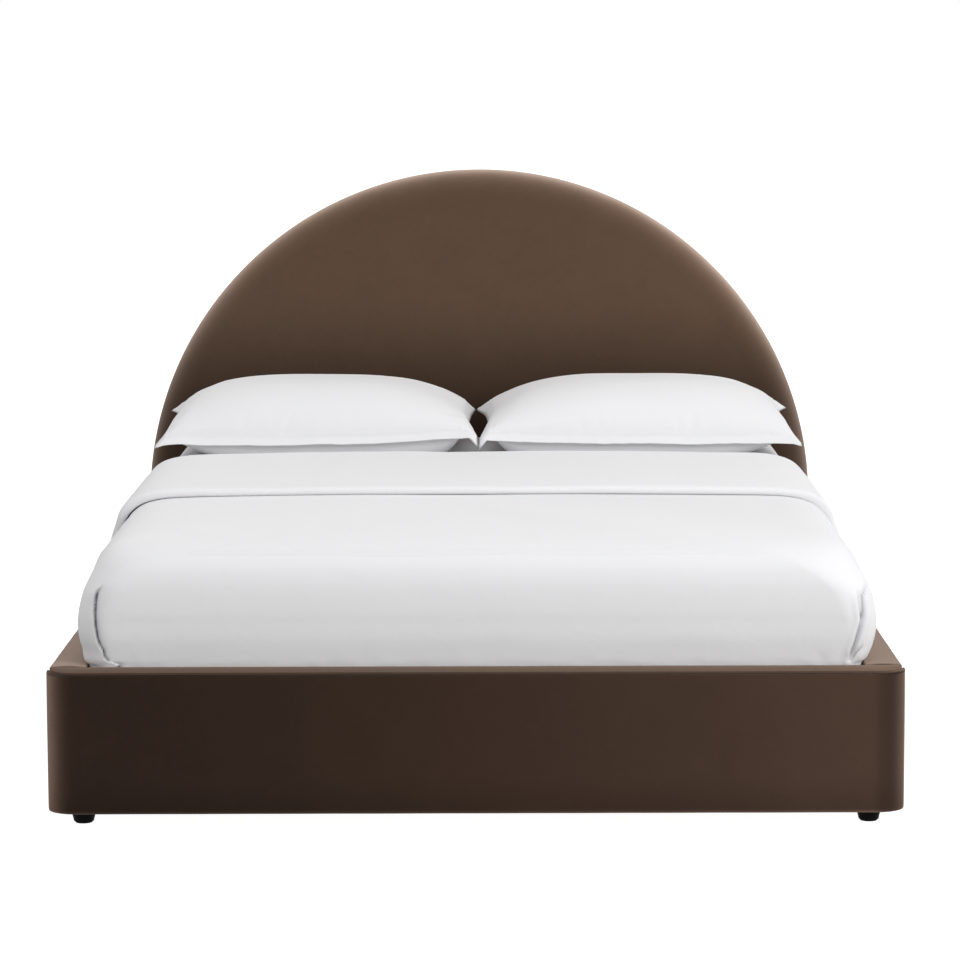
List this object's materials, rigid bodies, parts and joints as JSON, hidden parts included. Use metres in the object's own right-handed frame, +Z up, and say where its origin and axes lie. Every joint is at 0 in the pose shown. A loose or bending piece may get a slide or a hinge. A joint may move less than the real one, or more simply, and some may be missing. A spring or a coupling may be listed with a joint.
{
  "type": "storage platform bed",
  "caption": "Upholstered box bed with a half-round padded headboard; its mattress platform lifts at the foot end over a storage bay.",
  "frame": {"origin": "on the floor, under the middle of the bed's overall box", "axes": "+Z up, +Y from the foot panel towards the headboard, +X towards the right side seen from the foot"},
  "size_m": [1.72, 2.24, 1.2378],
  "materials": {
    "velvet": "brown short-pile velvet over foam",
    "back_cloth": "dark non-woven lining cloth",
    "timber": "planed softwood and board",
    "board": "plywood and hardboard",
    "slat_wood": "bent laminated birch",
    "holder_plastic": "black moulded plastic",
    "foot_plastic": "black moulded plastic",
    "bush_plastic": "nylon",
    "rubber": "rubber",
    "black_steel": "black powder coat",
    "zinc_steel": "zinc-plated pressed steel",
    "rod_steel": "polished rod",
    "webbing": "black webbing",
    "mattress_cloth": "knitted ticking over foam and springs",
    "bed_linen": "white woven cotton"
  },
  "bodies": {
    "bed_base": {"arm_pins": "zinc_steel", "centre_beam": "timber", "centre_feet": "foot_plastic", "corner_brackets": "zinc_steel", "corner_feet": "foot_plastic", "foot_glides": "rubber", "foot_ledge": "timber", "foot_panel_cover": "velvet", "foot_panel_frame": "timber", "foot_panel_strip": "velvet", "frame_bolts": "zinc_steel", "head_end_board": "board", "head_ledge": "timber", "headboard_back": "back_cloth", "headboard_board": "board", "headboard_frame": "timber", "headboard_padding": "velvet", "ledgers": "timber", "left_base_plate": "zinc_steel", "left_floor_panel": "board", "left_rail_cover": "velvet", "left_rail_frame": "timber", "left_rail_strip": "velvet", "link_pins": "zinc_steel", "rest_buffers": "rubber", "right_base_plate": "zinc_steel", "right_floor_panel": "board", "right_rail_cover": "velvet", "right_rail_frame": "timber", "right_rail_strip": "velvet", "side_rests": "black_steel", "spring_pins": "zinc_steel"},
    "lift_arms": {"left_long_arm": "zinc_steel", "right_long_arm": "zinc_steel", "arm_bushes": "bush_plastic"},
    "platform": {"left_platform_bracket": "black_steel", "right_platform_bracket": "black_steel", "bracket_bolts": "zinc_steel", "platform_pins": "zinc_steel", "link_end_studs": "zinc_steel", "left_side_tube": "black_steel", "right_side_tube": "black_steel", "end_tubes": "black_steel", "centre_tube": "black_steel", "cross_bars": "black_steel", "left_slats": "slat_wood", "right_slats": "slat_wood", "slat_holders": "holder_plastic", "pull_strap": "webbing", "mattress": "mattress_cloth", "fitted_sheet": "bed_linen", "duvet": "bed_linen", "left_pillow": "bed_linen", "right_pillow": "bed_linen"},
    "short_links": {"left_short_link": "zinc_steel", "right_short_link": "zinc_steel"},
    "gas_cylinders": {"left_gas_cylinder": "black_steel", "right_gas_cylinder": "black_steel"},
    "gas_rods": {"left_gas_rod": "rod_steel", "right_gas_rod": "rod_steel"}
  },
  "joints": [
    {"name": "arm_hinge", "type": "hinge", "parent": "bed_base", "child": "lift_arms", "pos_m": [0, 0, 0.074], "axis": [1, 0, 0], "range_deg": [0, 55.6]},
    {"name": "platform_hinge", "type": "hinge", "parent": "lift_arms", "child": "platform", "pos_m": [0, 0.39945, 0.14084], "axis": [1, 0, 0], "range_deg": [-80.36, 0]},
    {"name": "link_hinge", "type": "hinge", "parent": "bed_base", "child": "short_links", "pos_m": [0, 0.258, 0.174], "axis": [1, 0, 0], "range_deg": [0, 69.45]},
    {"name": "cylinder_hinge", "type": "hinge", "parent": "bed_base", "child": "gas_cylinders", "pos_m": [0, 0.308, 0.075], "axis": [1, 0, 0], "range_deg": [0, 10.4]},
    {"name": "rod_slide", "type": "slide", "parent": "gas_cylinders", "child": "gas_rods", "axis": [0, -0.8941, 0.4479], "range_m": [0, 0.1146]}
  ],
  "couplings": [
    {"joint": "platform_hinge", "follows": "arm_hinge", "ratio": -1.4452},
    {"joint": "link_hinge", "follows": "arm_hinge", "ratio": 1.2489},
    {"joint": "cylinder_hinge", "follows": "arm_hinge", "ratio": 0.18696},
    {"joint": "rod_slide", "follows": "arm_hinge", "m_per_rad": 0.11804}
  ]
}
